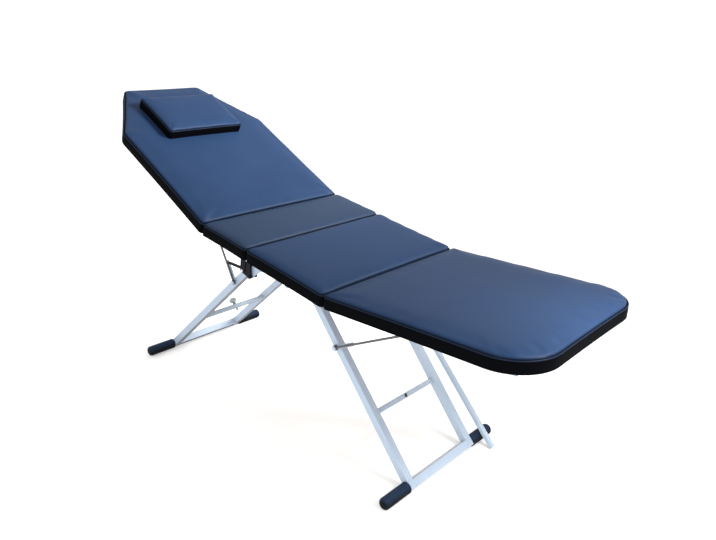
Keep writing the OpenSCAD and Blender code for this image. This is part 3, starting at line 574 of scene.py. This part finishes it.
def hard_finish(name, dark, light, gloss, matt, metallic=0.0, peel=1400.0, stain=22.0, relief=0.12,
                specular=0.5, length=1.0, under=1.0, turn_from=-0.45, turn_to=-0.66):
    """A hard finish between two colours and two roughnesses, with the fine relief of its surface.
    As a face turns to look down, its colour falls to the share called under: painted shade on the
    undersides."""
    material, shader = plain_finish(name, light, matt)
    nodes, links = material.node_tree.nodes, material.node_tree.links
    uneven = nodes.new("ShaderNodeGroup")
    uneven.node_tree = mottle
    for label, value in (("Stain", stain), ("Peel", peel), ("Length", length)):
        uneven.inputs[label].default_value = value
    colour = mixed(material, uneven.outputs["Stain"], dark, light)
    # Painted shade: the colour falls to the share called under as the face turns to look down.
    if under < 1.0:
        faces = nodes.new("ShaderNodeTexCoord")
        part = nodes.new("ShaderNodeSeparateXYZ")
        links.new(faces.outputs["Normal"], part.inputs["Vector"])
        painted_shade = carried(material, part.outputs["Z"], (turn_from, turn_to), (0.0, 1.0))
        colour = mixed(material, painted_shade, colour, [c * under for c in dark])
    links.new(colour, shader.inputs["Base Color"])
    links.new(carried(material, uneven.outputs["Stain"], (0.3, 0.7), (gloss, matt)),
              shader.inputs["Roughness"])
    links.new(bumped(material, uneven.outputs["Peel"], relief, 0.0008), shader.inputs["Normal"])
    shader.inputs["Metallic"].default_value = metallic
    shader.inputs["Specular IOR Level"].default_value = specular
    return material


def finished(material, *names):
    """CAD nodes that keep their shape and get a material."""
    for name in names:
        for place in frame["nodes"][name].material_slots:
            place.material = material


birch = hard_finish("plywood", (0.34, 0.21, 0.10), (0.56, 0.39, 0.21), 0.5, 0.7, peel=500.0,
                    stain=90.0, relief=0.25, length=0.06)
finished(birch, "rear_seat_board", "front_seat_board", "backrest_board", "foot_board")

# Staples: bright wire staples in a row through the turned-under band, one for each 34 mm of its
# length, driven into the board from below.
STAPLE_IN, STAPLE_STEP, STAPLE_L, STAPLE_HALF_W, STAPLE_T = 0.019, 0.034, 0.011, 0.0006, 0.0008
STATIONS = np.array([-0.5, -0.46, 0.0, 0.46, 0.5])  # along a staple, as shares of its length
LIFT = np.array([-0.0004, 0.0005, 0.0006, 0.0005, -0.0004])  # off the cloth at each station
staple_wire = hard_finish("staple_wire", (0.44, 0.45, 0.46), (0.56, 0.57, 0.58), 0.25, 0.38,
                          metallic=0.9, peel=700.0)


def staple_row(panel):
    """Staples at even steps of the outline's length. Each is a square section on five stations
    along the outline, sunk at both ends and raised between them."""
    path = panel.rings([-PANEL_T - CLOTH_T], [STAPLE_IN], 20, 60)[0]
    way = np.roll(path, -1, 0) - path
    length = np.linalg.norm(way, axis=1)
    reach = np.concatenate([[0], np.cumsum(length)])
    stops = np.arange(STAPLE_STEP / 2, reach[-1], STAPLE_STEP)
    at = np.clip(np.searchsorted(reach, stops) - 1, 0, len(path) - 1)
    ahead = way[at] / length[at][:, None]
    centre = path[at] + ahead * (stops - reach[at])[:, None]
    out = np.broadcast_to(-panel.place.off, ahead.shape)
    across = np.cross(out, ahead)
    stations = STATIONS * STAPLE_L
    square = np.array([(-STAPLE_HALF_W, 0.0), (-STAPLE_HALF_W, -STAPLE_T),
                       (STAPLE_HALF_W, -STAPLE_T), (STAPLE_HALF_W, 0.0)])
    points = (centre[:, None, None] + stations[None, :, None, None] * ahead[:, None, None]
              + square[None, None, :, :1] * across[:, None, None]
              + (LIFT[None, :, None, None] + square[None, None, :, 1:]) * out[:, None, None])
    a = np.arange(4)[:, None] * 4 + np.arange(4)
    b = np.roll(a, -1, 1)
    walls = np.stack([a, b, b + 4, a + 4], -1).reshape(-1, 4)
    one = np.concatenate([walls, [[3, 2, 1, 0], [16, 17, 18, 19]]])
    faces = (one[None] + 20 * np.arange(len(centre))[:, None, None]).reshape(-1, 4)
    name = panel.name + "_staples"
    mesh = bpy.data.meshes.new(name)
    mesh.from_pydata(points.reshape(-1, 3).tolist(), [], faces.tolist())
    piece(name, mesh, panel.body, staple_wire, smooth=False)


for panel in panels:
    staple_row(panel)

# Tube frame: square steel tubes, welded and powder coated in pale silver. They are the rails under
# the boards, the two leg frames that spread from under the seat, with their floor bars and
# crossbars, and the prop.
# The pale silver darkens on faces that look down: painted shade on the tubes' undersides.
silver_coat = hard_finish("silver_coat", (0.335, 0.408, 0.505), (0.395, 0.478, 0.590), 0.34, 0.46,
                          metallic=0.05, relief=0.08, specular=0.4, under=0.13)
finished(silver_coat, "rear_side_rails", "rear_cross_rails", "front_side_rails",
         "front_cross_rails", "backrest_side_rails", "backrest_cross_rails", "foot_side_rails",
         "foot_cross_rails", "head_leg_hangers", "foot_leg_hangers", "head_leg_near",
         "head_leg_far", "head_floor_bar", "head_crossbar", "foot_leg_near", "foot_leg_far",
         "foot_floor_bar", "foot_crossbar", "prop_tube", "fold_gussets")

# Weld beads: a rippled bead runs round each end of the crossbars and floor bars, where they butt
# against the legs' inner faces.
LEG_INNER, RIPPLE, RIPPLE_SHARE, FLOOR_CLEAR = 0.1336, 0.0021, 0.16, 0.0004
CROSSBAR_SIDE, CROSSBAR_CORNER, CROSSBAR_BEAD = 0.015, 0.0025, 0.0008
BAR_SIDE, BAR_CORNER, BAR_BEAD = 0.025, 0.003, 0.0016
HEAD_CROSSBAR_AT, FOOT_CROSSBAR_AT = (-0.4516, 0.19415), (0.37045, 0.18035)
HEAD_BAR_X, FOOT_BAR_X, BAR_HEIGHT = -0.63893, 0.52397, 0.0175


def weld_beads(name, legs, centre, side, corner, bead):
    """Two beads, each a circle carried round a rounded square that lies in the leg's inner face.
    Its radius swells and shrinks along the way by a sine of the length."""
    top = joint_at[legs[:4] + "_leg_fold"]
    leg_way = np.array([centre[0] - top[0], 0.0, centre[1] - top[2]])
    leg_way /= np.linalg.norm(leg_way)
    square_way = np.array([-leg_way[2], 0.0, leg_way[0]])
    flat = outline(oblong(-side / 2, side / 2, side), [corner] * 4, 0.0, 0.0, 6, 28)
    stacks = []
    for y in (-LEG_INNER, LEG_INNER):
        path = (np.array([centre[0], y, centre[1]]) + flat[:, :1] * leg_way
                + flat[:, 1:] * square_way)
        way = way_round(path)
        out = np.cross(way, [0.0, 1.0, 0.0])
        run = np.cumsum(np.linalg.norm(np.roll(path, -1, 0) - path, axis=1))
        radius = (bead * (1 + RIPPLE_SHARE * np.sin(2 * np.pi * run / RIPPLE)))[:, None, None]
        rings = tube_rings(path, radius, out, np.cross(way, out))
        rings[..., 2] = np.maximum(rings[..., 2], FLOOR_CLEAR)
        stacks.append(rings)
    piece(name, skins(name, stacks, looped=True), legs, silver_coat)


weld_beads("head_crossbar_welds", "head_legs", HEAD_CROSSBAR_AT, CROSSBAR_SIDE, CROSSBAR_CORNER,
           CROSSBAR_BEAD)
weld_beads("foot_crossbar_welds", "foot_legs", FOOT_CROSSBAR_AT, CROSSBAR_SIDE, CROSSBAR_CORNER,
           CROSSBAR_BEAD)
weld_beads("head_bar_welds", "head_legs", (HEAD_BAR_X, BAR_HEIGHT), BAR_SIDE, BAR_CORNER, BAR_BEAD)
weld_beads("foot_bar_welds", "foot_legs", (FOOT_BAR_X, BAR_HEIGHT), BAR_SIDE, BAR_CORNER, BAR_BEAD)

# Wire struts: one bent steel wire for each leg frame, darkened by oil. Its feet turn in bushes on
# the legs, and its bow drops into the notches of a rack under the panel.
dark_wire = hard_finish("dark_wire", (0.085, 0.085, 0.09), (0.13, 0.13, 0.138), 0.3, 0.45,
                        metallic=0.6, peel=700.0)
finished(dark_wire, "head_strut", "foot_strut")
finished(silver_coat, "head_strut_pins", "foot_strut_pins", "head_strut_bushes",
         "foot_strut_bushes")

# Axles, rivets and screws: zinc-plated steel, turned and headed, with a bright face. The fold pins
# are blackened with their brackets.
bright_zinc = hard_finish("bright_zinc", (0.50, 0.53, 0.57), (0.68, 0.70, 0.73), 0.2, 0.38,
                          metallic=0.9, peel=700.0)
finished(bright_zinc, "head_leg_axle", "foot_leg_axle", "bracket_screws", "lever_pin",
         "backrest_hinge_pins", "foot_hinge_pins")

# Fold brackets, outer hinge leaves and the fold lever: stamped steel plate with black powder coat,
# riveted and screwed to the rails' outer faces. The seats' hinge leaves are pale, as the rails are.
black_coat = hard_finish("black_coat", (0.0030, 0.0036, 0.0052), (0.0065, 0.0075, 0.0105), 0.42,
                         0.56, specular=0.08)
finished(black_coat, "fold_brackets", "backrest_hinge_leaves", "foot_hinge_leaves", "fold_lever",
         "fold_pins")
finished(silver_coat, "backrest_hinge_seat_leaves", "foot_hinge_seat_leaves")

# Nylon parts: spacers on the leg axles, plugs in the legs' open ends and the notched racks under
# the backrest and foot panel, all moulded in black.
black_nylon = hard_finish("black_nylon", (0.009, 0.009, 0.010), (0.020, 0.020, 0.022), 0.42, 0.56,
                          specular=0.3)
finished(black_nylon, "head_axle_spacers", "foot_axle_spacers", "backrest_racks", "foot_racks",
         "head_leg_plugs", "foot_leg_plugs")

# Floor sleeves: moulded black rubber with fine rings, pushed over the floor bars' ends. Each has a
# domed outer end and a flat inner one, and is worn flat where it stands.
SLEEVE_L, SLEEVE_R, BORE_R, DOME_R = 0.106, 0.018, 0.0126, 0.009
RING_STEP, RING_DEEP, RING_SHARE, LEG_OUTER = 0.0050, 0.0007, 0.45, 0.1586
BORE_L, LIP_GAP, LIP_R, WALL_FROM, WALL_STEP, END_R = 0.020, 0.0004, 0.0018, 0.0030, 0.0006, 0.006
# The rubber keeps a navy tone on faces that look up, a painted highlight, and falls to near black
# as they turn away: painted shade.
black_rubber = hard_finish("black_rubber", (0.010, 0.022, 0.048), (0.017, 0.036, 0.075), 0.5, 0.66,
                           peel=2400.0, stain=60.0, relief=0.3, specular=0.10, under=0.06,
                           turn_from=0.98, turn_to=0.05)


def turned(profile, start, way, count, scallops=0, depth=0.0):
    """Rings of a turned shape: each point of the profile, along and out, goes round the axis, and
    the radius dips by depth at each scallop."""
    way = np.asarray(way, float) / np.linalg.norm(way)
    side = np.cross([0.0, 1.0, 0.0] if abs(way[1]) < 0.9 else [1.0, 0.0, 0.0], way)
    side /= np.linalg.norm(side)
    angle = np.linspace(0, 2 * np.pi, count, endpoint=False)
    round_way = np.cos(angle)[:, None] * side + np.sin(angle)[:, None] * np.cross(way, side)
    dip = 1 - depth * (1 - np.abs(np.cos(scallops * angle / 2)))
    profile = np.asarray(profile)
    return (np.asarray(start) + profile[:, :1, None] * way
            + profile[:, 1:2, None] * dip[:, None] * round_way)


def floor_sleeves(name, node, body, bar_x):
    """Two sleeves: a bore, a flat inner end with a small round, a wall whose radius dips by a
    cosine at each ring, and a dome of a quarter circle."""
    along = np.arange(WALL_FROM, SLEEVE_L - DOME_R, WALL_STEP)
    wave = -np.cos(2 * np.pi * along / RING_STEP)
    wall = SLEEVE_R - RING_DEEP * np.clip(wave - (1 - RING_SHARE), 0, 1) / RING_SHARE
    turn = np.radians(np.arange(0, 86, 10))
    profile = np.concatenate([
        [[BORE_L, BORE_R], [LIP_GAP, BORE_R], [LIP_GAP, SLEEVE_R - LIP_R],
         [2 * LIP_GAP, SLEEVE_R - 0.0007], [LIP_R, SLEEVE_R]],
        np.stack([along, wall], 1),
        np.stack([SLEEVE_L - DOME_R + DOME_R * np.sin(turn),
                  SLEEVE_R - DOME_R + DOME_R * np.cos(turn)], 1),
        [[SLEEVE_L, END_R]]])
    stacks = [turned(profile, (bar_x, way * LEG_OUTER, BAR_HEIGHT), (0.0, way, 0.0), 44)
              for way in (-1, 1)]
    for rings in stacks:
        rings[..., 2] = np.maximum(rings[..., 2], 0.0)
    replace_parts(piece(name, skins(name, stacks), body, black_rubber), node)


floor_sleeves("head_sleeves", "head_floor_sleeves", "head_legs", HEAD_BAR_X)
floor_sleeves("foot_sleeves", "foot_floor_sleeves", "foot_legs", FOOT_BAR_X)

# Transport knob: a grey-green plastic head with shallow scallops on a dark neck. Its steel stem
# goes through the head crossbar and locks in the foot crossbar's hole when the table is folded.
KNOB_R, KNOB_BASE, KNOB_H, KNOB_LIFT = 0.014, 0.0076, 0.018, 0.0025
STEM_R, STEM_L, COLLAR_R, NECK_R, SCALLOPS, SCALLOP_DEEP = 0.004, 0.025, 0.0064, 0.0056, 12, 0.05
knob_plastic = hard_finish("knob_plastic", (0.290, 0.345, 0.345), (0.350, 0.410, 0.405), 0.34,
                           0.46, peel=900.0)
knob_neck = hard_finish("knob_neck", (0.150, 0.180, 0.185), (0.210, 0.250, 0.255), 0.4, 0.55)
knob_way = np.array(next(joint for joint in frame["record"]["behaviour"]["joints"]
                         if joint["name"] == "knob_turn")["axis"])
knob_foot = joint_at["knob_turn"] + KNOB_LIFT * knob_way
bulge = np.radians(np.arange(-66, 76, 6))
head_profile = np.stack([KNOB_BASE + KNOB_H * (1 + np.sin(bulge)) / 2,
                         KNOB_R * np.cos(bulge) ** 0.4], 1)
# Along and out: the stem's tip and wall, the collar on the crossbar, and the neck in the head.
neck_profile = [[-STEM_L, STEM_R * 0.7], [-0.023, STEM_R], [0.0, STEM_R], [0.0, COLLAR_R],
                [0.004, 0.0058], [KNOB_BASE, NECK_R], [KNOB_BASE + 0.004, NECK_R]]
head_rings = turned(head_profile, knob_foot, knob_way, 96, SCALLOPS, SCALLOP_DEEP)
neck_rings = turned(neck_profile, knob_foot, knob_way, 40)
for name, rings, plastic in (("knob_head", head_rings, knob_plastic),
                             ("knob_neck", neck_rings, knob_neck)):
    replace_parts(piece(name, skins(name, [rings]), "knob", plastic),
                "transport_knob")
